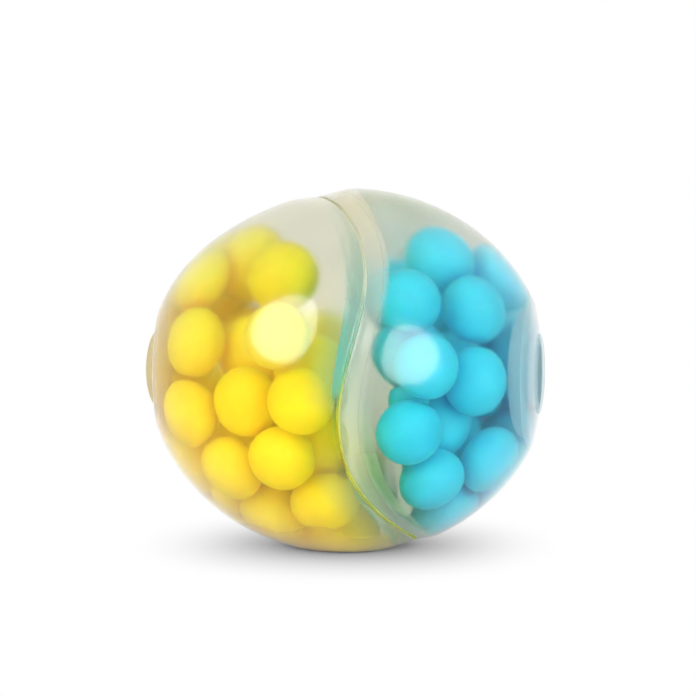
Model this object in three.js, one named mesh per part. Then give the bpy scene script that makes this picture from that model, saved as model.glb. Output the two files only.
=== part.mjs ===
// A soft squeeze ball with two chambers. Two clear half-ball bladders are bonded face to face on an S-shaped
// seam. Each is full of liquid and loose beads, and a domed plug closes the fill hole at its end.
// Millimetres, +Z up. X runs along the ball from the yellow end to the blue end, and -Y is its front.
// The origin is under the middle of the ball, on the surface that it rests on.
import * as THREE from 'three';
import { mergeVertices } from 'three/addons/utils/BufferGeometryUtils.js';

// Bladders, measured along the ball from the seam and outwards from its long axis
const ballRadius = 32; // widest radius of the ball
const endDistance = 32.4; // middle of the ball to the rim of its blunt end
const endRadius = 12.5; // radius of that rim
const endCrown = 1.5; // how far the blunt end bulges past its rim
const waistDepth = 0.7; // how far the skin draws in at the seam
const waistReach = 8; // how far that reaches from the seam
const seamFillet = 0.8; // rounding of a bladder's edge at the seam
const chamberFillet = 4; // rounding inside the chamber beside the seam
const wall = 2.2; // outer wall
const endWall = 2.2; // wall of the blunt end at its rim
const matingWall = 1.2; // wall against the other bladder
const footDepth = 1.3; // depth of the flat that the soft ball rests on

// Collar round the fill hole, and the plug in it
const holeRadius = 5.3;
const collarRadius = 9.2;
const collarDepth = 6;
const headInset = 2.2; // rim of a plug's head inside the collar's outside
const yellowHeadRise = 1.7; // top of a plug's domed head above its seat
const blueHeadRise = 0.5; // this plug is almost flush
const barbLip = 1.1; // lip that holds the plug behind the collar, out from the hole
const barbTaper = 1.8; // how much narrower the lip's tip is
const barbLength = 1.6;
const recessRadius = 2.6; // blind recess in the plug's inner end
const recessDepth = 3.5;
const squeezeTravel = 6; // how far a squeeze drives each plug towards the seam

// Bond, and the gap that touching pieces keep
const bondThickness = 0.4;
const bondInset = 0.5; // bond's rim below the waist
const clearance = 0.3;

// Bend of the seam along X: a tilted, three-waved film, which bulges at the front
const seamOffset = 3;
const seamLean = 5; // towards the blue end at the bottom
const seamSwing = 3; // towards the blue end at the front
const seamWave = 4.4;
const seamWaveTurn = THREE.MathUtils.degToRad(43); // turn of one crest, counted from the front to the top

// Sinking of the soft yellow end's top under its own weight
const yellowSlump = 3;

// Beads
const beadRadius = 5.2;
const yellowCount = 33;
const blueCount = 22;
// Places of the foremost beads as shares of the ball's radius: along X, up from its axis, and in from the front
// wall
const yellowFront = [
  [-0.28, 0.44, 0.35], [-0.44, 0.42, 0.5], [-0.66, 0.34, 0.15], [-0.74, 0.14, 0.1], [-0.26, 0.24, 0],
  [-0.47, 0.08, 0.42], [-0.7, -0.1, 0.05], [-0.4, -0.12, 0.13], [-0.14, -0.08, 0.01], [-0.06, 0.06, 0.3],
  [-0.02, -0.3, 0.25], [-0.52, -0.42, 0], [-0.22, -0.4, 0], [-0.73, -0.3, 0.25], [0.02, -0.55, 0.01],
  [-0.26, -0.64, 0.1], [-0.51, -0.6, 0.2], [0.03, -0.72, 0.1],
];
const blueFront = [
  [0.39, 0.38, 0], [0.63, 0.34, 0.15], [0.49, 0.48, 0.35], [0.64, 0.42, 0.4], [0.36, 0.1, 0.34],
  [0.56, 0.08, 0], [0.75, 0.02, 0.03], [0.37, -0.22, 0], [0.51, -0.22, 0.32], [0.77, -0.28, 0.05],
  [0.48, -0.46, 0], [0.52, -0.56, 0.2], [0.6, -0.48, 0.35],
];
const heapRoll = THREE.MathUtils.degToRad(15); // how far each heap rolls about the ball's axis, either way
const heapLean = 0.55; // slope of the heap up towards the ball's end
const beadDetail = 1;

// Facets
const turnSteps = 36;
const faceSteps = 5;
const domeSteps = 10;
const crownSteps = 3;
const filletSteps = 3;
const plugSteps = 24;
const headSteps = 4;

// Worked out from the sizes above
const axisHeight = ballRadius - footDepth;
// where the ball's curve would meet its axis
const ballHalf = endDistance / Math.sqrt(1 - (endRadius / ballRadius) ** 2);
const bendReach = endDistance - collarDepth; // the seam's bend has died away at the collar
const faceAt = bondThickness / 2 + clearance;
const seamRadius = ballRadius - waistDepth;
const faceRim = seamRadius - seamFillet; // edge of the mating face, where its rounding starts
const chamberAt = faceAt + matingWall;
const chamberRadius = ballRadius - wall;
const chamberHalf = ballHalf - wall;
const chamberEnd = endDistance - endWall;
const plugDepth = collarDepth + clearance + barbLength;
const headRadius = collarRadius - headInset;
const barbRadius = holeRadius + barbLip;

const group = new THREE.Group();

const skinYellow = new THREE.MeshStandardMaterial({
  color: 0xe6e8da, roughness: 0.2, metalness: 0, transparent: true, opacity: 0.35,
});
const skinBlue = new THREE.MeshStandardMaterial({
  color: 0xd8e6e6, roughness: 0.2, metalness: 0, transparent: true, opacity: 0.35,
});
const bondClear = new THREE.MeshStandardMaterial({
  color: 0xe9dd8e, roughness: 0.35, metalness: 0, transparent: true, opacity: 0.5,
});
const plugMilky = new THREE.MeshStandardMaterial({ color: 0xd9dccb, roughness: 0.3, metalness: 0 });
const beadYellow = new THREE.MeshStandardMaterial({ color: 0xffe22d, roughness: 0.5, metalness: 0 });
const beadBlue = new THREE.MeshStandardMaterial({ color: 0x22cdec, roughness: 0.5, metalness: 0 });

// How far the seam lies along X at a radius and a turn. Each wave fades towards the axis as in a taut film.
function seamShift(radius, turn) {
  const share = radius / seamRadius;
  const tilt = seamSwing * Math.cos(turn) - seamLean * Math.sin(turn);
  const waves = seamWave * Math.cos(3 * (turn - seamWaveTurn));
  return seamOffset + share * tilt + share ** 3 * waves;
}

// Radius of the ball's plain oval at a place along it.
function ovalRadius(along) {
  return ballRadius * Math.sqrt(Math.max(0, 1 - (along / ballHalf) ** 2));
}

// How far the blunt end stands past its rim at a radius.
function crown(radius) {
  return endCrown * (1 - (radius / endRadius) ** 2);
}

// How far the waist draws the skin in at a distance from the seam.
function waistDip(out) {
  const share = Math.min(1, out / waistReach);
  return (waistDepth * (1 + Math.cos(Math.PI * share))) / 2;
}

// How far the skin sinks at a place along the ball and a height over its axis.
function slump(x, height) {
  const overCollar = Math.max(0, height - collarRadius) / (ballRadius - collarRadius);
  const towardsEnd = Math.max(0, -x) / endDistance;
  return yellowSlump * towardsEnd * overCollar ** 2;
}

// Carries a point of the straight ball to its place in the one with the bent seam, whose outline stays
// the oval.
function bend(along, radius, turn, floor) {
  const fade = Math.max(0, 1 - Math.abs(along) / bendReach);
  const x = along + fade * seamShift(radius, turn);
  const bentRadius = fade > 0 ? (radius * ovalRadius(x)) / ovalRadius(along) : radius;
  const height = bentRadius * Math.sin(turn);
  const z = axisHeight + height - slump(x, height);
  return new THREE.Vector3(x, -bentRadius * Math.cos(turn), Math.max(floor, z));
}

// Takes a point of the bent ball back to the straight one, as its place along the axis and its radius.
function straighten(point) {
  const rise = point.z - axisHeight;
  let height = rise;
  for (let pass = 0; pass < 3; pass++) height = rise + slump(point.x, height);
  const turn = Math.atan2(height, -point.y);
  const bentRadius = Math.hypot(point.y, height);
  let along = point.x;
  let radius = bentRadius;
  for (let pass = 0; pass < 5; pass++) {
    const shift = seamShift(radius, turn);
    const side = point.x < shift ? -1 : 1;
    const bent = (point.x - shift) / (1 - (side * shift) / bendReach);
    along = Math.abs(bent) < bendReach ? bent : point.x;
    radius = (bentRadius * ovalRadius(along)) / Math.max(endRadius, ovalRadius(point.x));
  }
  return { along, radius };
}

// Merges a geometry's shared points, drops triangles with no area and turns its faces outwards.
function closedSolid(geometry) {
  geometry.deleteAttribute('normal');
  geometry.deleteAttribute('uv');
  const merged = mergeVertices(geometry, 1e-4);
  const corners = merged.index.array;
  const kept = [];
  let volume = 0;
  const [a, b, c] = [new THREE.Vector3(), new THREE.Vector3(), new THREE.Vector3()];
  for (let i = 0; i < corners.length; i += 3) {
    const [p, q, r] = corners.slice(i, i + 3);
    if (p === q || q === r || r === p) continue;
    kept.push(p, q, r);
    a.fromBufferAttribute(merged.attributes.position, p);
    b.fromBufferAttribute(merged.attributes.position, q);
    c.fromBufferAttribute(merged.attributes.position, r);
    volume += a.dot(b.cross(c));
  }
  if (volume < 0) kept.reverse();
  merged.setIndex(kept);
  merged.computeVertexNormals();
  return merged;
}

// Revolves a profile of (radius, distance along) about the X axis on one side of the seam, through a place
// function that takes the distance along, the radius, the turn and the point's number in the profile.
function revolve(profile, steps, side, place) {
  const geometry = new THREE.LatheGeometry(profile, steps);
  const position = geometry.attributes.position;
  for (let i = 0; i < position.count; i++) {
    const number = i % profile.length;
    const turn = (2 * Math.PI * Math.floor(i / profile.length)) / steps;
    const { x: radius, y: along } = profile[number];
    const point = place(side * along, radius, turn % (2 * Math.PI), number);
    position.setXYZ(i, point.x, point.y, point.z);
  }
  // Both faces of a thin wall are split along the same diagonals, so they stay the same distance apart.
  const corners = [];
  for (let step = 0; step < steps; step++) {
    for (let number = 0; number < profile.length - 1; number++) {
      const a = step * profile.length + number;
      const b = a + profile.length;
      const outwards = profile[number + 1].x >= profile[number].x;
      corners.push(...(outwards ? [a, b, a + 1, b + 1, a + 1, b] : [a, b, b + 1, a, b + 1, a + 1]));
    }
  }
  geometry.setIndex(corners);
  return closedSolid(geometry);
}

function addPiece(name, geometry, material) {
  const mesh = new THREE.Mesh(geometry, material);
  mesh.name = name;
  group.add(mesh);
  return mesh;
}

// Evenly spaced shares from just after 0 up to 1.
const shares = (steps) => Array.from({ length: steps }, (_, i) => (i + 1) / steps);

const between = (from, to, share) => from + share * (to - from);

// Half section of a bladder: out over its mating face and dome, in through the fill hole, and back round
// the chamber.
function bladderProfile() {
  const outer = [[faceAt, 0]];
  for (const s of shares(faceSteps)) outer.push([faceAt, s * faceRim]);
  const domeAt = faceAt + seamFillet;
  for (const s of shares(filletSteps)) {
    const lift = (s * Math.PI) / 2;
    const out = domeAt - seamFillet * Math.cos(lift);
    outer.push([out, ovalRadius(domeAt) - waistDip(domeAt) - seamFillet * (1 - Math.sin(lift))]);
  }
  for (const s of shares(domeSteps)) {
    const out = ballHalf * Math.sin(between(Math.asin(domeAt / ballHalf), Math.asin(endDistance / ballHalf), s));
    outer.push([out, ovalRadius(out) - waistDip(out)]);
  }
  for (const s of shares(crownSteps)) {
    const radius = between(endRadius, holeRadius, s);
    outer.push([endDistance + crown(radius), radius]);
  }

  const inner = [
    [endDistance - collarDepth, holeRadius],
    [endDistance - collarDepth, collarRadius],
    [chamberEnd, collarRadius],
  ];
  const cornerAt = chamberAt + chamberFillet;
  for (const s of [...shares(domeSteps).reverse(), 0]) {
    const lift = between(Math.asin(cornerAt / chamberHalf), Math.asin(chamberEnd / chamberHalf), s);
    const out = chamberHalf * Math.sin(lift);
    inner.push([out, chamberRadius * Math.cos(lift) - waistDip(out)]);
  }
  const innerRim = inner[inner.length - 1][1] - chamberFillet;
  for (const s of [...shares(filletSteps).reverse().slice(1), 0]) {
    const lift = (s * Math.PI) / 2;
    inner.push([cornerAt - chamberFillet * Math.cos(lift), innerRim + chamberFillet * Math.sin(lift)]);
  }
  for (const s of [...shares(faceSteps).reverse().slice(1), 0]) inner.push([chamberAt, s * innerRim]);
  const profile = [...outer, ...inner].map(([along, radius]) => new THREE.Vector2(radius, along));
  return { profile, outerCount: outer.length };
}

function bladder(name, side, material) {
  const { profile, outerCount } = bladderProfile();
  const place = (along, radius, turn, number) => bend(along, radius, turn, number < outerCount ? 0 : wall);
  addPiece(name, revolve(profile, turnSteps, side, place), material);
}

function bondFilm() {
  const half = bondThickness / 2;
  const rings = [0, ...shares(faceSteps).map((s) => s * faceRim), seamRadius - bondInset];
  const under = rings.map((radius) => new THREE.Vector2(radius, -half));
  const over = rings.map((radius) => new THREE.Vector2(radius, half)).reverse();
  const place = (along, radius, turn) => bend(along, radius, turn, 0);
  addPiece('bond_film', revolve([...under, ...over], turnSteps, 1, place), bondClear);
}

// A domed head on the blunt end, a stem through the collar, and a barbed lip with a blind recess behind it.
function plug(name, side, headRise, material) {
  const seat = endDistance + crown(holeRadius) + clearance;
  const stemRadius = holeRadius - clearance;
  const barbAt = endDistance - collarDepth - clearance;
  const tipAt = endDistance - plugDepth;
  const points = [
    [0, tipAt + recessDepth],
    [recessRadius, tipAt + recessDepth],
    [recessRadius, tipAt],
    [barbRadius - barbTaper, tipAt],
    [barbRadius, barbAt],
    [stemRadius, barbAt],
    [stemRadius, seat],
    [headRadius, seat],
  ];
  for (const s of shares(headSteps)) {
    const lift = (s * Math.PI) / 2;
    points.push([headRadius * Math.cos(lift), seat + headRise * Math.sin(lift)]);
  }
  points[points.length - 1][0] = 0;
  const profile = points.map(([radius, along]) => new THREE.Vector2(radius, along));
  const place = (along, radius, turn) =>
    new THREE.Vector3(along, -radius * Math.cos(turn), axisHeight + radius * Math.sin(turn));
  addPiece(name, revolve(profile, plugSteps, side, place), material);
}

// Distance from a point to a corner's two faces, negative inside it. Each face is given by how far the point
// is off it.
function offCorner(offSide, offTop) {
  return Math.hypot(Math.max(0, offSide), Math.max(0, offTop)) + Math.min(0, Math.max(offSide, offTop));
}

// Distances from a point in a chamber to the walls, their rounded corner, the collar, the path of the plug and
// the foot.
function roomsAround(point, side) {
  const { along, radius } = straighten(point);
  const out = side * along;
  const round = Math.hypot(out / chamberHalf, radius / chamberRadius);
  const offDome = chamberRadius * (1 - round) - waistDip(out);
  const offFace = out - chamberAt;
  const pathEnd = endDistance - plugDepth - squeezeTravel;
  return [
    offDome,
    offFace,
    chamberFillet - Math.hypot(Math.max(0, chamberFillet - offDome), Math.max(0, chamberFillet - offFace)),
    chamberEnd - out,
    offCorner(radius - collarRadius, bendReach - out),
    offCorner(radius - barbRadius, pathEnd - out),
    point.z - wall,
  ];
}

// Moves a bead off every wall that it comes too near, at the heap's rest and at the turns that it rolls to.
function keepOffWalls(bead, side) {
  const least = beadRadius + clearance;
  const pivot = new THREE.Vector3(0, 0, axisHeight);
  const axis = new THREE.Vector3(1, 0, 0);
  const probe = 0.05;
  for (const share of [-1, -0.5, 0, 0.5, 1]) {
    const turned = bead.clone().sub(pivot).applyAxisAngle(axis, share * heapRoll).add(pivot);
    const rooms = roomsAround(turned, side);
    const slopes = [0, 1, 2].map((k) => {
      const near = turned.clone();
      near.setComponent(k, near.getComponent(k) + probe);
      return roomsAround(near, side);
    });
    const push = new THREE.Vector3();
    rooms.forEach((room, wallNumber) => {
      const slope = new THREE.Vector3(...slopes.map((near) => (near[wallNumber] - room) / probe));
      const steep = slope.length();
      if (steep > 0 && room / steep < least) push.addScaledVector(slope, (least - room / steep) / steep);
    });
    bead.add(push.applyAxisAngle(axis, -share * heapRoll));
  }
}

// Moves each pair of beads apart to the least distance between their centres. The first few, which are held,
// stay.
function keepBeadsApart(beads, held) {
  const least = 2 * beadRadius + clearance;
  const apart = new THREE.Vector3();
  for (let i = 0; i < beads.length; i++) {
    for (let j = Math.max(i + 1, held); j < beads.length; j++) {
      apart.subVectors(beads[j], beads[i]);
      const distance = apart.length();
      if (distance >= least) continue;
      apart.multiplyScalar((least - distance) / distance);
      const share = i < held ? 0 : 0.5;
      beads[i].addScaledVector(apart, -share);
      beads[j].addScaledVector(apart, 1 - share);
    }
  }
}

// Lets the beads that aren't held settle. Each step moves them less, then keeps them apart and off the walls.
function settle(beads, held, side, move) {
  const moveSteps = 300;
  const restSteps = 200;
  for (let step = 0; step < moveSteps + restSteps; step++) {
    const ease = Math.max(0, 1 - step / moveSteps);
    for (let i = held; i < beads.length; i++) move(beads[i], i, ease);
    keepBeadsApart(beads, held);
    for (let i = held; i < beads.length; i++) keepOffWalls(beads[i], side);
  }
}

// The foremost beads, drawn to their places as far as the walls and each other let them.
function frontBeads(side, front) {
  const least = beadRadius + clearance;
  const places = front.map(([along, up, deep]) => {
    const x = along * ballRadius;
    const height = up * ballRadius;
    const room = (chamberRadius - least) ** 2 * (1 - (x / (chamberHalf - least)) ** 2) - height ** 2;
    return new THREE.Vector3(x, deep * ballRadius - Math.sqrt(Math.max(0, room)), axisHeight + height);
  });
  const beads = places.map((place) => place.clone());
  const strongestDraw = 0.1;
  settle(beads, 0, side, (bead, i, ease) => bead.lerp(places[i], strongestDraw * ease));
  return beads;
}

// A heap of the foremost beads and others behind them, which start on a loose close-packed grid, lowest first,
// and sink with a lean towards the ball's end.
function beadHeap(side, front, count) {
  const beads = frontBeads(side, front);
  const pitch = 2 * (beadRadius + clearance);
  const reach = Math.ceil((2 * ballRadius) / pitch);
  const starts = [];
  for (let k = 0; k < 2 * reach; k++) {
    const offset = k % 2 ? 0.5 : 0;
    for (let j = 0; j < reach; j++) {
      for (let i = 0; i < reach; i++) {
        const start = new THREE.Vector3(
          seamOffset + side * (chamberAt + beadRadius + (i + offset) * pitch),
          (j + offset) * pitch - beadRadius,
          wall + beadRadius + k * pitch * Math.SQRT1_2,
        );
        const inside = Math.min(...roomsAround(start, side)) > beadRadius / 2;
        if (inside && beads.every((bead) => bead.distanceTo(start) > beadRadius)) starts.push(start);
      }
    }
  }
  const down = new THREE.Vector3(side * heapLean, 0, -1).normalize();
  starts.sort((p, q) => q.dot(down) - p.dot(down));
  beads.push(...starts.slice(0, count - front.length));
  const deepestSink = 0.015 * beadRadius;
  settle(beads, front.length, side, (bead, i, ease) => bead.addScaledVector(down, deepestSink * ease));
  settle(beads, 0, side, () => {});
  return beads;
}

function addBeads(prefix, side, front, count, material) {
  beadHeap(side, front, count).forEach((bead, i) => {
    const geometry = closedSolid(new THREE.IcosahedronGeometry(beadRadius, beadDetail));
    const mesh = addPiece(`${prefix}_${String(i + 1).padStart(2, '0')}`, geometry, material);
    mesh.position.copy(bead);
  });
}

bladder('yellow_bladder', -1, skinYellow);
bladder('blue_bladder', 1, skinBlue);
bondFilm();
plug('yellow_plug', -1, yellowHeadRise, plugMilky);
plug('blue_plug', 1, blueHeadRise, plugMilky);
addBeads('yellow_bead', -1, yellowFront, yellowCount, beadYellow);
addBeads('blue_bead', 1, blueFront, blueCount, beadBlue);

export default group;
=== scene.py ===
import bpy
import bmesh
import numpy as np
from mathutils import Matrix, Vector


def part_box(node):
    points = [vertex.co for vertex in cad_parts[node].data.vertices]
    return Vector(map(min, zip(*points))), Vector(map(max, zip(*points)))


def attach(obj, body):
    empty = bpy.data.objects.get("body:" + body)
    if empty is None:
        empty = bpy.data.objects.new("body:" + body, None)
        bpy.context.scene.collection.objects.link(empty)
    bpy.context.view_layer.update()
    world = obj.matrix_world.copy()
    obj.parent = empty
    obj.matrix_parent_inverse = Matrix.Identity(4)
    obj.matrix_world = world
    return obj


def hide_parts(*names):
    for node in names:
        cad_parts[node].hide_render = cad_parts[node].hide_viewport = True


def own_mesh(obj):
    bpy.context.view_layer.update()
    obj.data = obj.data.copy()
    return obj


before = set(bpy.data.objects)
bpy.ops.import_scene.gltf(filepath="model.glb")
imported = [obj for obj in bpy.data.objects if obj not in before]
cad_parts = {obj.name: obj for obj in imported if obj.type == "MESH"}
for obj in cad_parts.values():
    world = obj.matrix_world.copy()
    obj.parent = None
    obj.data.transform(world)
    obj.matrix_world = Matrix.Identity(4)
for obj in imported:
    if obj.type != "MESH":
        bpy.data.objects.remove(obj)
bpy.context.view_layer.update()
print("frame loaded,", len(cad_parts), "nodes")

# the ball, in metres: an oval turned about X, with a bent seam across it
ball = dict(
    radius=0.032,
    endRadius=0.0125, endCrown=0.0015,  # rim of the blunt end, and its bulge
    footDepth=0.0013,  # lost to the flat that it rests on
    waistDepth=0.0007, waistReach=0.008,  # shallow waist along the seam
    slump=0.003,  # sag of the yellow end's top
    hole=0.0053, collarRadius=0.0092, collarDepth=0.006,  # fill hole and the collar round it
)
holeCrown = ball["endCrown"] * (1 - (ball["hole"] / ball["endRadius"]) ** 2)
ball["endDistance"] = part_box("blue_bladder")[1].x - holeCrown
ball["axisHeight"] = ball["radius"] - ball["footDepth"]
ball["half"] = ball["endDistance"] / np.sqrt(1 - (ball["endRadius"] / ball["radius"]) ** 2)
ball["bendReach"] = ball["endDistance"] - ball["collarDepth"]

seam = dict(offset=0.003, lean=0.005, swing=0.003, wave=0.0044, waveTurn=np.radians(43))
meshing = dict(merge=1e-7, sliver=1e-8, leastShare=1e-6)  # metres, metres, no division by zero
pureWhite = (1, 1, 1, 1)


# place of the seam along X: an offset, a tilt that grows with the radius, three waves that grow with its cube
def seamShift(radius, turn):
    share = radius / (ball["radius"] - ball["waistDepth"])
    tilt = seam["swing"] * np.cos(turn) - seam["lean"] * np.sin(turn)
    return seam["offset"] + share * tilt + share ** 3 * seam["wave"] * np.cos(3 * (turn - seam["waveTurn"]))


# radius of an ellipse with half lengths `half` along X and `wide` across it
def ovalRadius(x, half, wide):
    return wide * np.sqrt(np.maximum(0, 1 - (x / half) ** 2))


# a bell curve, deepest at the seam
def waistDip(out):
    return ball["waistDepth"] * np.exp(-(2 * out / ball["waistReach"]) ** 2)


# the yellow end's top sinks with the square of the height over the collar
def slump(x, height):
    over = np.maximum(0, height - ball["collarRadius"]) / (ball["radius"] - ball["collarRadius"])
    return ball["slump"] * np.maximum(0, -x) / ball["endDistance"] * over ** 2


# carries (along, radius, turn) to its place: X moves with the seam, less towards the ends,
# and the radius follows the oval
def bend(along, radius, turn, floor=0.0):
    fade = np.maximum(0, 1 - np.abs(along) / ball["bendReach"])
    x = along + fade * seamShift(radius, turn)
    across = ovalRadius(along, ball["half"], 1)
    stretch = ovalRadius(x, ball["half"], 1) / np.maximum(meshing["leastShare"], across)
    radius = radius * np.where(fade > 0, stretch, 1)
    height = radius * np.sin(turn)
    z = np.maximum(floor, ball["axisHeight"] + height - slump(x, height))
    return np.stack([x, -radius * np.cos(turn), z], axis=-1)


# bulge of the blunt end: falls with the square of the radius
def endAlong(radius):
    return ball["endDistance"] + ball["endCrown"] * (1 - (radius / ball["endRadius"]) ** 2)


# straight turning about X, for the rigid pieces
def straight(along, radius, turn):
    return np.stack([along, -radius * np.cos(turn), ball["axisHeight"] + radius * np.sin(turn)], axis=-1)


# a grid of rings as a closed mesh: quads between neighbours, and rings of no size merged to poles
def ringMesh(name, rings, slots, materials, near=None):
    ringCount, turnCount = rings.shape[:2]
    i, j = np.meshgrid(np.arange(ringCount - 1), np.arange(turnCount), indexing="ij")
    nextJ = (j + 1) % turnCount
    quads = np.stack([i * turnCount + j, i * turnCount + nextJ,
                      (i + 1) * turnCount + nextJ, (i + 1) * turnCount + j], axis=-1).reshape(-1, 4)
    mesh = bpy.data.meshes.new(name)
    mesh.from_pydata(rings.reshape(-1, 3), [], quads)
    for material in materials:
        mesh.materials.append(material)
    mesh.polygons.foreach_set("material_index", np.repeat(slots, turnCount).astype(np.int32))
    mesh.polygons.foreach_set("use_smooth", np.ones(len(quads), dtype=bool))
    if near is not None:
        seamNear = mesh.attributes.new("seamNear", "FLOAT", "POINT")
        seamNear.data.foreach_set("value", np.repeat(near, turnCount))
    shell = bmesh.new()
    shell.from_mesh(mesh)
    bmesh.ops.remove_doubles(shell, verts=shell.verts, dist=meshing["merge"])
    bmesh.ops.dissolve_degenerate(shell, edges=shell.edges, dist=meshing["sliver"])
    bmesh.ops.recalc_face_normals(shell, faces=shell.faces)
    shell.to_mesh(mesh)
    shell.free()
    piece = bpy.data.objects.new(name, mesh)
    bpy.context.scene.collection.objects.link(piece)
    return piece


# an empty node material with its nodes and links
def newMaterial(name):
    material = bpy.data.materials.new(name)
    material.use_nodes = True
    material.node_tree.nodes.clear()
    return material, material.node_tree.nodes, material.node_tree.links


# a node with plain values on its sockets
def addNode(nodes, kind, **values):
    node = nodes.new(kind)
    for key, value in values.items():
        node.inputs[key].default_value = value
    return node


# a sum, product, power or maximum of sockets and plain numbers
def mathNode(nodes, links, operation, *values):
    node = nodes.new("ShaderNodeMath")
    node.operation = operation
    for socket, value in zip(node.inputs, values):
        if isinstance(value, float):
            socket.default_value = value
        else:
            links.new(value, socket)
    return node.outputs[0]


# a number carried from one range to another and held inside it
def mapRange(nodes, links, value, start=(0, 1), stop=(0, 1)):
    node = addNode(nodes, "ShaderNodeMapRange", **{
        "From Min": start[0], "From Max": start[1], "To Min": stop[0], "To Max": stop[1]})
    links.new(value, node.inputs["Value"])
    return node


# height over the floor, from Object coordinates
def heightOf(nodes, links):
    split = nodes.new("ShaderNodeSeparateXYZ")
    links.new(nodes.new("ShaderNodeTexCoord").outputs["Object"], split.inputs["Vector"])
    return split.outputs["Z"]


# soft noise on Object coordinates
def softNoise(nodes, links, scale, detail=3.0):
    noise = addNode(nodes, "ShaderNodeTexNoise", Scale=scale, Detail=detail)
    links.new(nodes.new("ShaderNodeTexCoord").outputs["Object"], noise.inputs["Vector"])
    return noise.outputs["Fac"]


# soft noise between two colours, with a short blend between them
def mottle(nodes, links, scale, low, high, blend=(0.35, 0.65)):
    cloud = softNoise(nodes, links, scale)
    ramp = nodes.new("ShaderNodeValToRGB")
    for stop, place, colour in zip(ramp.color_ramp.elements, blend, (low, high)):
        stop.position, stop.color = place, (*colour, 1)
    links.new(cloud, ramp.inputs["Fac"])
    return ramp.outputs["Color"], cloud


# colour and haze that change with height, with cloudy edges between the bands
def heightBands(nodes, links, bands, scale=90.0, cloudiness=0.08):
    share = mapRange(nodes, links, heightOf(nodes, links), (0, 2 * ball["radius"]))
    cloud = mapRange(nodes, links, softNoise(nodes, links, scale), stop=(-cloudiness, cloudiness))
    height = mathNode(nodes, links, "ADD", share.outputs["Result"], cloud.outputs["Result"])
    ramp = nodes.new("ShaderNodeValToRGB")
    stops = ramp.color_ramp.elements
    for stop, (place, colour, haze) in zip(stops, (bands[0], bands[-1])):
        stop.position, stop.color = place, (*colour, haze)
    for place, colour, haze in bands[1:-1]:
        stops.new(place).color = (*colour, haze)
    links.new(height, ramp.inputs["Fac"])
    return ramp.outputs["Color"], ramp.outputs["Alpha"]


# clear skin: rough refraction, rougher towards the top and greyer there as painted shade for the darker room
# seen through it, milky along the seam with painted tints of the other side's beads, under a glossy coat
def skinMaterial(name, finish):
    material, nodes, links = newMaterial(name)
    paintedShadeGrey, cloud = mottle(nodes, links, finish["mottle"], finish["low"], finish["high"])
    # painted shade: from the clearer colour below to grey towards the top, for the darker room seen through
    # the clear top
    shadeFrom, shadeTo = (share * ball["axisHeight"] for share in finish["paintedShadeGrey"])
    rise = mapRange(nodes, links, heightOf(nodes, links), (shadeFrom, shadeTo))
    colour = addNode(nodes, "ShaderNodeMixRGB", Color1=(*finish["below"], 1))
    links.new(rise.outputs["Result"], colour.inputs["Fac"])
    links.new(paintedShadeGrey, colour.inputs["Color2"])
    skin = addNode(nodes, "ShaderNodeBsdfPrincipled", **{
        "IOR": finish["ior"], "Specular Tint": (0, 0, 0, 1), "Coat Weight": finish["coat"],
        "Coat Roughness": finish["coatRoughness"], "Coat IOR": finish["coatIor"]})
    # milky haze near the seam, tinted with painted light of the other side's beads
    hazeAndPaintedLight, density = heightBands(nodes, links, finish["bands"])
    near = nodes.new("ShaderNodeAttribute")
    near.attribute_name = "seamNear"
    haze = mathNode(nodes, links, "MULTIPLY", density, near.outputs["Fac"])
    blend = nodes.new("ShaderNodeMixRGB")
    links.new(haze, blend.inputs["Fac"])
    links.new(colour.outputs["Color"], blend.inputs["Color1"])
    links.new(hazeAndPaintedLight, blend.inputs["Color2"])
    clear = mapRange(nodes, links, haze, stop=(1, 0))
    links.new(clear.outputs["Result"], skin.inputs["Transmission Weight"])
    links.new(blend.outputs["Color"], skin.inputs["Base Color"])
    frost = mapRange(nodes, links, rise.outputs["Result"], stop=finish["roughness"])
    links.new(frost.outputs["Result"], skin.inputs["Roughness"])
    strength, distance = finish["bump"]
    bump = addNode(nodes, "ShaderNodeBump", Strength=strength, Distance=distance)
    links.new(cloud, bump.inputs["Height"])
    links.new(bump.outputs["Normal"], skin.inputs["Normal"])
    output = nodes.new("ShaderNodeOutputMaterial")
    links.new(skin.outputs["BSDF"], output.inputs["Surface"])
    return material


# hazy wall in the liquid: partly see-through, the rest scatters light to both sides
def hazeMaterial(name, bands):
    material, nodes, links = newMaterial(name)
    colour, haze = heightBands(nodes, links, bands)
    diffuse = nodes.new("ShaderNodeBsdfDiffuse")
    glow = nodes.new("ShaderNodeBsdfTranslucent")
    links.new(colour, diffuse.inputs["Color"])
    links.new(colour, glow.inputs["Color"])
    scatter = addNode(nodes, "ShaderNodeMixShader", Fac=0.5)  # half back, half onwards
    links.new(diffuse.outputs["BSDF"], scatter.inputs[1])
    links.new(glow.outputs["BSDF"], scatter.inputs[2])
    clear = nodes.new("ShaderNodeBsdfTransparent")
    mix = nodes.new("ShaderNodeMixShader")
    links.new(haze, mix.inputs["Fac"])
    links.new(clear.outputs["BSDF"], mix.inputs[1])
    links.new(scatter.outputs["Shader"], mix.inputs[2])
    output = nodes.new("ShaderNodeOutputMaterial")
    links.new(mix.outputs["Shader"], output.inputs["Surface"])
    return material


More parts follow.
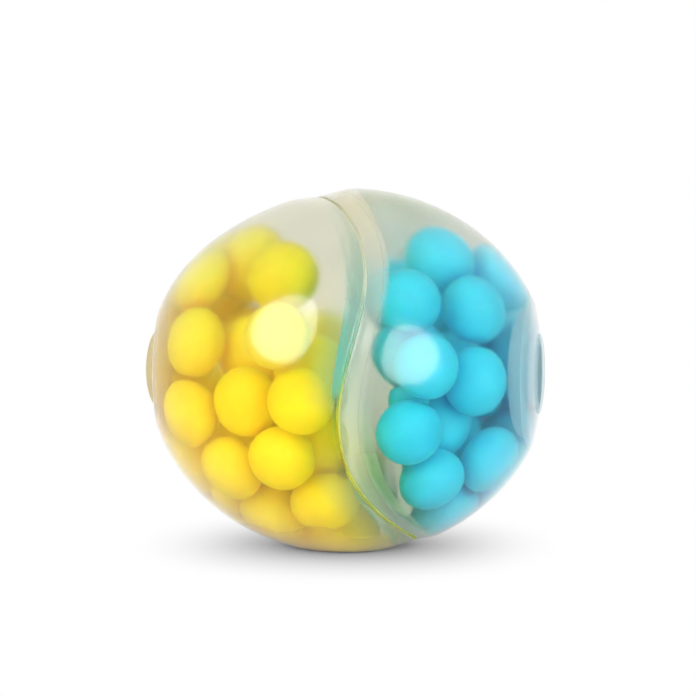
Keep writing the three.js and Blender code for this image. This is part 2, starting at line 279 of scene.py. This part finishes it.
# soft bead: light passes a little way into it, under a fine grain
def beadMaterial(name, finish):
    material, nodes, links = newMaterial(name)
    colour, _ = mottle(nodes, links, finish["mottle"], finish["low"], finish["high"])
    bead = addNode(nodes, "ShaderNodeBsdfPrincipled", **{
        "Roughness": finish["roughness"], "Specular IOR Level": finish["specular"],
        "Subsurface Weight": finish["glow"], "Subsurface Scale": finish["depth"],
        "Subsurface Radius": finish["reach"]})
    links.new(colour, bead.inputs["Base Color"])
    strength, distance = finish["bump"]
    bump = addNode(nodes, "ShaderNodeBump", Strength=strength, Distance=distance)
    links.new(softNoise(nodes, links, *finish["grain"]), bump.inputs["Height"])
    links.new(bump.outputs["Normal"], bead.inputs["Normal"])
    output = nodes.new("ShaderNodeOutputMaterial")
    links.new(bead.outputs["BSDF"], output.inputs["Surface"])
    return material


clearRubber = dict(
    ior=1.38, coat=1.0, coatRoughness=0.14, coatIor=1.3, mottle=90.0, bump=(0.03, 0.0004),
    roughness=(0.13, 0.26), paintedShadeGrey=(0.9, 1.7),  # rougher, and greyer as painted shade, between these shares of the axis height
)
# bands of milky haze along the seam, their colours partly painted light of the other side's beads, green and
# teal on the yellow side, olive, sage and yellow on the blue side: height as a share of the ball, colour,
# density
yellowSkin = skinMaterial("yellowSkin", dict(
    below=(0.92, 0.88, 0.74), low=(0.65, 0.67, 0.60), high=(0.69, 0.70, 0.64), **clearRubber, bands=[
        (0.03, (0.06, 0.40, 0.38), 0.23), (0.10, (0.02, 0.36, 0.26), 0.23), (0.20, (0.02, 0.42, 0.34), 0.23),
        (0.34, (0.30, 0.60, 0.35), 0.0), (0.40, (0.02, 0.50, 0.58), 0.0), (0.52, (0.0, 0.72, 0.95), 0.23),
        (0.68, (0.0, 0.76, 0.95), 0.23), (0.86, (0.70, 0.75, 0.62), 0.0)]))
blueSkin = skinMaterial("blueSkin", dict(
    below=(0.88, 0.86, 0.86), low=(0.85, 0.75, 0.74), high=(0.89, 0.79, 0.78), **clearRubber, bands=[
        (0.06, (0.40, 0.48, 0.26), 0.4), (0.17, (0.28, 0.46, 0.18), 0.4), (0.25, (0.45, 0.58, 0.14), 0.4),
        (0.34, (0.62, 0.72, 0.12), 0.4), (0.45, (0.50, 0.72, 0.32), 0.4), (0.66, (0.60, 0.76, 0.52), 0.4),
        (0.80, (0.74, 0.73, 0.50), 0.4), (0.92, (0.88, 0.78, 0.38), 0.45)]))
# inner walls: painted light, yellow up to half the height on the yellow side and more orange at the bottom,
# for the beads' glow seen there; faintly blue on the blue side in the same way
yellowInner = hazeMaterial("yellowInner", [
    (0.03, (1.0, 0.74, 0.0), 0.5), (0.12, (1.0, 0.82, 0.0), 0.3), (0.22, (1.0, 0.84, 0.0), 0.24),
    (0.50, (1.0, 0.85, 0.0), 0.22), (0.70, (0.95, 0.86, 0.40), 0.01), (0.90, (0.90, 0.88, 0.70), 0.02)])
blueInner = hazeMaterial("blueInner", [
    (0.2, (0.05, 0.66, 0.86), 0.05), (0.6, (0.30, 0.75, 0.88), 0.02), (0.9, (0.80, 0.85, 0.85), 0.02)])
# seam walls and faces: colours painted for the light of the other side's beads, green and teal on the yellow
# side, green, sage and cream on the blue side
yellowSeamWall = hazeMaterial("yellowSeamWall", [
    (0.05, (0.24, 0.66, 0.50), 0.5), (0.20, (0.30, 0.75, 0.50), 0.45), (0.28, (0.60, 0.85, 0.50), 0.04),
    (0.42, (0.30, 0.82, 0.80), 0.06), (0.50, (0.04, 0.78, 0.90), 0.75), (0.62, (0.04, 0.78, 0.92), 0.7),
    (0.72, (0.40, 0.88, 0.92), 0.2), (0.82, (0.85, 0.92, 0.85), 0.04)])
blueSeamWall = hazeMaterial("blueSeamWall", [
    (0.05, (0.60, 0.75, 0.45), 0.5), (0.16, (0.45, 0.72, 0.40), 0.5), (0.26, (0.50, 0.78, 0.42), 0.5),
    (0.36, (0.62, 0.85, 0.56), 0.3), (0.50, (0.80, 0.95, 0.80), 0.1), (0.72, (0.95, 1.0, 0.92), 0.06),
    (0.80, (1.0, 0.96, 0.80), 0.3), (0.92, (1.0, 0.94, 0.72), 0.45)])
yellowSeamFace = hazeMaterial("yellowSeamFace", [  # painted teal for the blue beads glimmering through it
    (0.03, (0.30, 0.60, 0.45), 0.5), (0.10, (0.36, 0.60, 0.22), 0.5), (0.24, (0.40, 0.72, 0.28), 0.5),
    (0.30, (0.60, 0.85, 0.40), 0.1), (0.44, (0.40, 0.85, 0.70), 0.1), (0.50, (0.08, 0.80, 0.84), 0.3),
    (0.58, (0.10, 0.82, 0.88), 0.3), (0.66, (0.45, 0.92, 0.92), 0.1), (0.76, (0.95, 0.95, 0.90), 0.03)])
blueSeamFace = hazeMaterial("blueSeamFace", [  # painted green and pale yellow for the yellow beads glimmering through it
    (0.06, (0.50, 0.70, 0.50), 0.5), (0.17, (0.35, 0.70, 0.40), 0.5), (0.25, (0.55, 0.85, 0.40), 0.5),
    (0.34, (0.85, 1.0, 0.35), 0.4), (0.45, (0.80, 1.0, 0.70), 0.3), (0.62, (0.95, 1.0, 0.90), 0.25),
    (0.74, (1.0, 0.98, 0.95), 0.12), (0.90, (1.0, 0.96, 0.92), 0.1)])
# bond film and rim: pale yellow and cream painted for the light of the yellow beads carried through the seam,
# the rim bright yellow in its lower half
bondHaze = hazeMaterial("bondHaze", [(0.0, (0.84, 0.82, 0.45), 0.1), (1.0, (0.92, 0.88, 0.62), 0.05)])
bondRim = hazeMaterial("bondRim", [
    (0.0, (1.0, 0.98, 0.30), 0.9), (0.48, (1.0, 0.98, 0.36), 0.9), (0.58, (0.95, 0.96, 0.70), 0.4),
    (0.95, (0.98, 0.95, 0.72), 0.3)])
yellowCollar = hazeMaterial("yellowCollar", [(0.0, (1.0, 0.82, 0.28), 0.45), (1.0, (1.0, 0.86, 0.40), 0.45)])
blueCollar = hazeMaterial("blueCollar", [(0.0, (0.55, 0.88, 0.94), 0.55), (1.0, (0.62, 0.90, 0.95), 0.55)])
yellowPlugMilky = hazeMaterial("yellowPlugMilky", [
    (0.3, (0.86, 0.74, 0.28), 0.6), (0.7, (0.92, 0.84, 0.48), 0.6)])
bluePlugMilky = hazeMaterial("bluePlugMilky", [
    (0.3, (0.70, 0.90, 0.95), 0.25), (0.7, (0.78, 0.93, 0.97), 0.25)])
softRubber = dict(
    mottle=140.0, roughness=0.5, specular=0.25, glow=0.8, depth=0.006,
    grain=(900.0, 2.0), bump=(0.08, 0.0002),  # scale and detail, strength and distance
)
yellowBead = beadMaterial("yellowBead", dict(
    low=(0.98, 0.75, 0.004), high=(1.0, 0.81, 0.012), reach=(1.0, 0.7, 0.1), **softRubber))
blueBead = beadMaterial("blueBead", dict(
    low=(0.02, 0.64, 0.80), high=(0.035, 0.70, 0.86), reach=(0.1, 0.6, 1.0), **softRubber))
print("materials made")

# bladder: mating face, rounded edge, dome, blunt end, fill hole and collar, then back round the chamber
bladder = dict(
    face=0.00025, edge=0.00025, wall=0.0022, endWall=0.0022, matingWall=0.0012, corner=0.004,
    turns=144, faceRings=24, edgeRings=6, domeRings=56, endRings=8,
)
bandSlot = dict(skin=0, inner=1, collar=2, seamWall=3, seamFace=4)


# points at even angles on a circle
def arc(centreAlong, centreRadius, size, start, stop, count):
    angle = np.linspace(start, stop, count)
    return np.stack([centreAlong + size * np.cos(angle), centreRadius + size * np.sin(angle)], axis=-1)


# points at even steps between two ends
def line(start, stop, count):
    return np.linspace(start, stop, count)


# places along X at even angles of an oval of half length `half`
def ovalSteps(start, stop, half, count):
    return half * np.sin(np.linspace(np.arcsin(start / half), np.arcsin(stop / half), count))


# half section as (along, radius) points with the slot of the band that follows each point
def bladderSection(cornerRings):
    b, end = bladder, ball["endDistance"]
    domeAt = b["face"] + b["edge"]
    rim = ovalRadius(domeAt, ball["half"], ball["radius"]) - waistDip(domeAt)
    out = ovalSteps(domeAt, end, ball["half"], b["domeRings"])
    dome = np.stack([out, ovalRadius(out, ball["half"], ball["radius"]) - waistDip(out)], axis=-1)
    radius = np.linspace(ball["endRadius"], ball["hole"], b["endRings"])[1:]
    crown = np.stack([endAlong(radius), radius], axis=-1)
    outer = [
        line((b["face"], 0), (b["face"], rim - b["edge"]), b["faceRings"]),
        arc(domeAt, rim - b["edge"], b["edge"], np.pi, np.pi / 2, b["edgeRings"])[1:-1],
        dome, crown,
    ]
    chamberAt, chamberHalf = b["face"] + b["matingWall"], ball["half"] - b["wall"]
    chamberRadius, chamberEnd = ball["radius"] - b["wall"], end - b["endWall"]
    cornerAt = chamberAt + b["corner"]
    backOut = ovalSteps(chamberEnd, cornerAt, chamberHalf, b["domeRings"])
    backRadius = ovalRadius(backOut, chamberHalf, chamberRadius) - waistDip(backOut)
    chamber = np.stack([backOut, backRadius], axis=-1)
    collarAt = end - ball["collarDepth"]
    collar = np.array([
        (collarAt, ball["hole"]), (collarAt, ball["collarRadius"]), (chamberEnd, ball["collarRadius"])])
    innerRim = chamber[-1, 1] - b["corner"]
    inner = [
        collar, chamber,
        arc(cornerAt, innerRim, b["corner"], np.pi / 2, np.pi, b["edgeRings"])[1:],
        line((chamberAt, innerRim), (chamberAt, 0), b["faceRings"])[1:],
    ]
    outerPoints, innerPoints = np.concatenate(outer), np.concatenate(inner)
    points = np.concatenate([outerPoints, innerPoints])
    faceStop, skinStop = b["faceRings"] - 1, len(outerPoints) - 1
    collarStop = skinStop + 1 + len(collar)
    slots = np.full(len(points) - 1, bandSlot["inner"])
    slots[:faceStop] = bandSlot["seamFace"]
    slots[faceStop:skinStop] = bandSlot["skin"]
    slots[skinStop:collarStop] = bandSlot["collar"]  # with the hole
    slots[collarStop - 1 + b["domeRings"] + cornerRings:] = bandSlot["seamWall"]
    return points, slots, len(outerPoints)


# the section turned about X and bent with the seam; milky along the seam, with painted tints of the other
# side's beads there, clearer over the feather's width
def makeBladder(name, side, materials, node, milky, feather, cornerRings):
    points, slots, outerCount = bladderSection(cornerRings)
    turn = np.linspace(0, 2 * np.pi, bladder["turns"], endpoint=False)
    floor = np.where(np.arange(len(points)) < outerCount, 0, bladder["wall"])[:, None]
    rings = bend(side * points[:, :1], points[:, 1:], turn[None, :], floor)
    near = np.clip(1 + (milky - points[:, 0]) / feather, 0, 1)
    piece = ringMesh(name, rings, slots, materials, near)
    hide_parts(node)
    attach(piece, "ball")
    return piece


yellowLook = [yellowSkin, yellowInner, yellowCollar, yellowSeamWall, yellowSeamFace]
blueLook = [blueSkin, blueInner, blueCollar, blueSeamWall, blueSeamFace]
# width of the milky band with its painted tints, width over which it clears, rings of the chamber's corner
# that count as seam wall
yellowEdge = dict(milky=0.0015, feather=0.004, cornerRings=3)
blueEdge = dict(milky=0.0034, feather=0.0015, cornerRings=0)
yellowShell = makeBladder("yellowShell", -1, yellowLook, "yellow_bladder", **yellowEdge)
blueShell = makeBladder("blueShell", 1, blueLook, "blue_bladder", **blueEdge)
print("bladders made")

# bond: a thin bent disc between the mating faces, with a rounded rim that fills the groove of the seam
bond = dict(half=0.0002, rim=0.00035, inset=0.0001, rings=40, rimRings=9)


# two flat faces and half an ellipse for the rim, turned about X and bent with the seam
def makeBond():
    top = ball["radius"] - ball["waistDepth"] - bond["inset"]
    inner = top - bond["rim"]
    face = line((-bond["half"], 0), (-bond["half"], inner), bond["rings"])
    rim = arc(0, inner, 1, np.pi, 0, bond["rimRings"]) - (0, inner)
    rim = rim * (bond["half"], bond["rim"]) + (0, inner)
    points = np.concatenate([face, rim[1:-1], face[::-1] * (-1, 1)])
    turn = np.linspace(0, 2 * np.pi, bladder["turns"], endpoint=False)
    rings = bend(points[:, :1], points[:, 1:], turn[None, :])
    slots = np.zeros(len(points) - 1)
    slots[bond["rings"] - 1:bond["rings"] + bond["rimRings"] - 2] = 1  # rim
    piece = ringMesh("bondDisc", rings, slots, [bondHaze, bondRim])
    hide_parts("bond_film")
    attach(piece, "ball")
    return piece


bondDisc = makeBond()

# plugs: a thin domed head that lies on the blunt end, a stem and a barbed lip with a blind recess
plug = dict(
    head=0.007, seat=0.0003, lip=0.0001, yellowRise=0.0017, blueRise=0.0005,
    stem=0.005, barb=0.0064, barbTip=0.0046, barbLength=0.0016, barbEdge=0.0003,
    recess=0.0026, recessDepth=0.0035, turns=72, rings=24, underRings=5,
)


# recess, barb and stem as straight lines, the head's underside along the end, a quarter ellipse over it
def makePlug(name, side, rise, milky, node, body):
    p, end = plug, ball["endDistance"]
    barbAt = end - ball["collarDepth"] - p["seat"]
    tip = barbAt - p["barbLength"]
    top = end + holeCrown + p["seat"] + rise
    rimAt = endAlong(p["head"]) + p["lip"]
    lift = np.linspace(0, np.pi / 2, p["rings"])
    under = np.linspace(p["stem"], p["head"], p["underRings"])
    points = np.concatenate([
        [(tip + p["recessDepth"], 0), (tip + p["recessDepth"], p["recess"]), (tip, p["recess"]),
         (tip, p["barbTip"]), (barbAt - p["barbEdge"], p["barb"]), (barbAt, p["barb"]), (barbAt, p["stem"])],
        np.stack([endAlong(under) + p["lip"], under], axis=-1),
        np.stack([rimAt + (top - rimAt) * np.sin(lift), p["head"] * np.cos(lift)], axis=-1)[1:]])
    points[-1, 1] = 0
    turn = np.linspace(0, 2 * np.pi, p["turns"], endpoint=False)
    rings = straight(side * points[:, :1] + 0 * turn[None, :], points[:, 1:], turn[None, :])
    piece = ringMesh(name, rings, np.zeros(len(points) - 1), [milky])
    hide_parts(node)
    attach(piece, body)
    return piece


makePlug("yellowStopper", -1, plug["yellowRise"], yellowPlugMilky, "yellow_plug", "yellow_stopper")
makePlug("blueStopper", 1, plug["blueRise"], bluePlugMilky, "blue_plug", "blue_stopper")
print("plugs made")

# beads: soft balls, a little larger than their solids and pressed flat where they meet
bead = dict(rings=28, turns=48, swell=0.00008, gap=0.00005, sharpness=14, softer=5, leastFacing=1e-3)


# radius in each direction: a soft minimum of the free radius and of planes at `reach` towards each neighbour
def pressedBall(name, centre, radius, others, reach, colour, sharpness):
    tilt = np.linspace(0, np.pi, bead["rings"])[:, None, None]
    turn = np.linspace(0, 2 * np.pi, bead["turns"], endpoint=False)[None, :, None]
    out = np.concatenate([
        np.cos(tilt) + 0 * turn, np.sin(tilt) * np.cos(turn), np.sin(tilt) * np.sin(turn)], axis=-1)
    towards = (others - centre) / np.linalg.norm(others - centre, axis=-1)[:, None]
    limit = reach / np.maximum(bead["leastFacing"], out @ towards.T) / radius
    size = radius * (1 + (limit ** -sharpness).sum(axis=-1)) ** (-1 / sharpness)
    return ringMesh(name, centre + size[..., None] * out, np.zeros(bead["rings"] - 1), [colour])


# fillers: smaller beads deep in the heaps, clear of the walls and plugs at every pose
filler = dict(
    cloud=6000, seed=7, wall=0.0085, seam=0.005, seamWall=0.003, plugRadius=0.0125, plugTip=0.015,
    top=0.028, front=-0.014, room=0.0062, most=18, spread=2.2, roll=np.radians(15))


# the furthest that the seam comes towards a point on this side while the heap rolls either way
def seamReach(side, points):
    turn = np.arctan2(points[:, 2], -points[:, 1])
    radius = np.linalg.norm(points[:, 1:], axis=-1)
    rolls = (-filler["roll"], 0, filler["roll"])
    return np.max([side * seamShift(radius, turn + roll) for roll in rolls], axis=0)


# of a fixed cloud of points in the lower chamber, the ones furthest from all beads, one by one
def fillerCentres(side, centres):
    reach = ball["radius"] - filler["wall"]
    cloud = np.random.default_rng(filler["seed"]).uniform(-reach, reach, (filler["cloud"], 3))
    radius = np.linalg.norm(cloud[:, 1:], axis=-1)
    inside = np.linalg.norm(cloud, axis=-1) < reach
    inside &= side * cloud[:, 0] > seamReach(side, cloud) + filler["seam"]
    inside &= (radius > filler["plugRadius"]) | (side * cloud[:, 0] < filler["plugTip"])
    cloud = cloud + (0, 0, ball["axisHeight"])
    cloud = cloud[inside & (cloud[:, 2] < filler["top"]) & (cloud[:, 1] > filler["front"])]
    taken, found = np.array(list(centres)), []
    while len(found) < filler["most"]:
        clearance = np.linalg.norm(cloud[:, None] - taken[None], axis=-1).min(axis=1)
        best = clearance.argmax()
        if clearance[best] < filler["room"]:
            break
        found.append(cloud[best])
        taken = np.concatenate([taken, cloud[best:best + 1]])
    return found


# a pressed ball for each solid bead, then the fillers in the room that the others and the seam leave
def makeHeap(prefix, side, colour, body):
    boxes = {node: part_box(node) for node in sorted(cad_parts) if node.startswith(prefix)}
    centres = {node: np.array((low + high) / 2) for node, (low, high) in boxes.items()}
    radius = max(high.z - low.z for low, high in boxes.values()) / 2 + bead["swell"]
    pieces = []
    for node, centre in centres.items():
        others = np.array([place for other, place in centres.items() if other != node])
        half = np.linalg.norm(others - centre, axis=-1) / 2 - bead["gap"]
        name = node.replace("_bead_", "Bead")
        piece = pressedBall(name, centre, radius, others, half, colour, bead["sharpness"])
        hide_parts(node)
        pieces.append(piece)
    extra = fillerCentres(side, centres.values())
    solids = np.array(list(centres.values()))
    for number, centre in enumerate(extra, 1):
        rest = np.array([place for place in extra if place is not centre]).reshape(-1, 3)
        free = np.linalg.norm(solids - centre, axis=-1) - radius - bead["gap"]
        half = np.linalg.norm(rest - centre, axis=-1) / 2 - bead["gap"]
        onAxis = (centre - (0, 0, ball["axisHeight"]))[None]
        wall = side * centre[0] - seamReach(side, onAxis) - filler["seamWall"]
        others = np.concatenate([solids, rest, centre[None] - (side, 0, 0)])
        reach = np.concatenate([free, half, wall])
        name = f"{prefix.split('_')[0]}Filler{number}"
        size = min(radius, filler["spread"] * reach.min())
        pieces.append(pressedBall(name, centre, size, others, reach, colour, bead["softer"]))
    for piece in pieces:
        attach(piece, body)
    print(prefix, len(centres), "solids and", len(extra), "fillers")
    return pieces


beads = makeHeap("yellow_bead", -1, yellowBead, "yellow_heap")
beads += makeHeap("blue_bead", 1, blueBead, "blue_heap")
print("beads made:", len(beads))

# every soft piece gets a mesh of its own
for piece in [yellowShell, blueShell, bondDisc, *beads]:
    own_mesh(piece)

# camera: long lens, a little to the blue side and a little above
view = dict(
    azimuth=np.radians(8), elevation=np.radians(6), distance=0.52, aim=(0, 0, 0.0347),
    lens=153.6, sensor=36, clip=(0.01, 50))


# unit vector towards an azimuth, counted from the front, and an elevation
def direction(azimuth, elevation):
    level = np.cos(elevation)
    return Vector((np.sin(azimuth) * level, -np.cos(azimuth) * level, np.sin(elevation)))


camera = bpy.data.objects.new("camera", bpy.data.cameras.new("camera"))
bpy.context.scene.collection.objects.link(camera)
towards = direction(view["azimuth"], view["elevation"])
camera.location = Vector(view["aim"]) + towards * view["distance"]
camera.rotation_euler = towards.to_track_quat("Z", "Y").to_euler()
camera.data.lens = view["lens"]
camera.data.sensor_width = view["sensor"]
camera.data.clip_start, camera.data.clip_end = view["clip"]
bpy.context.scene.camera = camera

# two round soft boxes; what lights the ball is dimmer than what mirrors in it
lamps = dict(
    left=dict(azimuth=np.radians(-29), elevation=np.radians(30), size=0.73, power=0.8, glint=25.0),
    right=dict(azimuth=np.radians(36.5), elevation=np.radians(15.5), size=0.64, power=0.7, glint=18.0),
)
lampDistance, glintDistance = 1.0, 0.99  # apart, because lamps in one place hide each other


# a round lamp that faces the middle of the ball
def softBox(name, lamp, power, distance):
    light = bpy.data.lights.new(name, "AREA")
    light.shape, light.size, light.energy = "DISK", lamp["size"], power
    holder = bpy.data.objects.new(name, light)
    away = direction(lamp["azimuth"], lamp["elevation"])
    holder.location = Vector((0, 0, ball["axisHeight"])) + away * distance
    holder.rotation_euler = away.to_track_quat("Z", "Y").to_euler()
    bpy.context.scene.collection.objects.link(holder)
    return holder


for name, lamp in lamps.items():
    softBox(name, lamp, lamp["power"], lampDistance).visible_glossy = False
    glint = softBox(name + "Glint", lamp, lamp["glint"], glintDistance)
    glint.visible_diffuse = glint.visible_transmission = False


# 1 for rays that see the background: from the camera, in reflections and through clear pieces
def seenDirectly(nodes, links):
    rays = nodes.new("ShaderNodeLightPath").outputs
    mirrored = mathNode(nodes, links, "MAXIMUM", rays["Is Camera Ray"], rays["Is Glossy Ray"])
    return mathNode(nodes, links, "MAXIMUM", mirrored, rays["Is Transmission Ray"])


# white room, a little dimmer in what it sheds on the ball than in what is seen of it
room = dict(fill=0.8, seen=1.0)
world = bpy.data.worlds.new("studio")
bpy.context.scene.world = world
world.use_nodes = True
worldNodes, worldLinks = world.node_tree.nodes, world.node_tree.links
worldNodes.clear()
fill = addNode(worldNodes, "ShaderNodeBackground", Color=pureWhite, Strength=room["fill"])
white = addNode(worldNodes, "ShaderNodeBackground", Color=pureWhite, Strength=room["seen"])
worldMix = worldNodes.new("ShaderNodeMixShader")
worldOutput = worldNodes.new("ShaderNodeOutputWorld")
worldLinks.new(seenDirectly(worldNodes, worldLinks), worldMix.inputs["Fac"])
worldLinks.new(fill.outputs[0], worldMix.inputs[1])
worldLinks.new(white.outputs[0], worldMix.inputs[2])
worldLinks.new(worldMix.outputs[0], worldOutput.inputs["Surface"])

# floor: white, darker where the ball keeps the light of the room off it, and all white further away
floorFinish = dict(
    size=3.0, matt=(0.9, 0.9, 0.9, 1),
    reach=0.09, samples=16, softness=0.5, lift=1.2,  # contact shadow
    sides=2.4, white=(0.04, 0.12),  # an oval round the ball over which it turns white
    through=0.95)  # how white it is through the clear ball
floorMaterial, floorNodes, floorLinks = newMaterial("paleFloor")
matt = addNode(floorNodes, "ShaderNodeBsdfDiffuse", Color=floorFinish["matt"])
openness = addNode(floorNodes, "ShaderNodeAmbientOcclusion", Distance=floorFinish["reach"])
openness.samples = floorFinish["samples"]
soften = mathNode(floorNodes, floorLinks, "POWER", openness.outputs["AO"], floorFinish["softness"])
lift = mathNode(floorNodes, floorLinks, "MULTIPLY", soften, floorFinish["lift"])
lift.node.use_clamp = True
oval = floorNodes.new("ShaderNodeVectorMath")
oval.operation = "MULTIPLY"
oval.inputs[1].default_value = (floorFinish["sides"], 1, 1)
floorLinks.new(floorNodes.new("ShaderNodeTexCoord").outputs["Object"], oval.inputs[0])
away = floorNodes.new("ShaderNodeVectorMath")
away.operation = "LENGTH"
floorLinks.new(oval.outputs["Vector"], away.inputs[0])
outward = mapRange(floorNodes, floorLinks, away.outputs["Value"], floorFinish["white"])
outward.interpolation_type = "SMOOTHSTEP"
level = mapRange(floorNodes, floorLinks, outward.outputs["Result"])
floorLinks.new(lift, level.inputs["To Min"])
clearRay = floorNodes.new("ShaderNodeLightPath").outputs["Is Transmission Ray"]
through = mapRange(floorNodes, floorLinks, clearRay, (0, 1 / floorFinish["through"]))
floorLinks.new(level.outputs["Result"], through.inputs["To Min"])
shade = addNode(floorNodes, "ShaderNodeEmission", Color=pureWhite)
floorLinks.new(through.outputs["Result"], shade.inputs["Strength"])
floorMix = floorNodes.new("ShaderNodeMixShader")
floorLinks.new(seenDirectly(floorNodes, floorLinks), floorMix.inputs["Fac"])
floorLinks.new(matt.outputs[0], floorMix.inputs[1])
floorLinks.new(shade.outputs[0], floorMix.inputs[2])
floorOutput = floorNodes.new("ShaderNodeOutputMaterial")
floorLinks.new(floorMix.outputs[0], floorOutput.inputs["Surface"])
floorMesh = bpy.data.meshes.new("floor")
corner = np.array([(-1, -1, 0), (1, -1, 0), (1, 1, 0), (-1, 1, 0)]) * floorFinish["size"]
floorMesh.from_pydata(corner, [], [(0, 1, 2, 3)])
floorMesh.materials.append(floorMaterial)
floor = bpy.data.objects.new("floor", floorMesh)
bpy.context.scene.collection.objects.link(floor)

bpy.context.scene.view_settings.view_transform = "Standard"
bpy.context.scene.cycles.transparent_max_bounces = 24  # clear walls behind each other
bpy.context.scene.cycles.diffuse_bounces = 8  # light among the beads
print("scene ready")
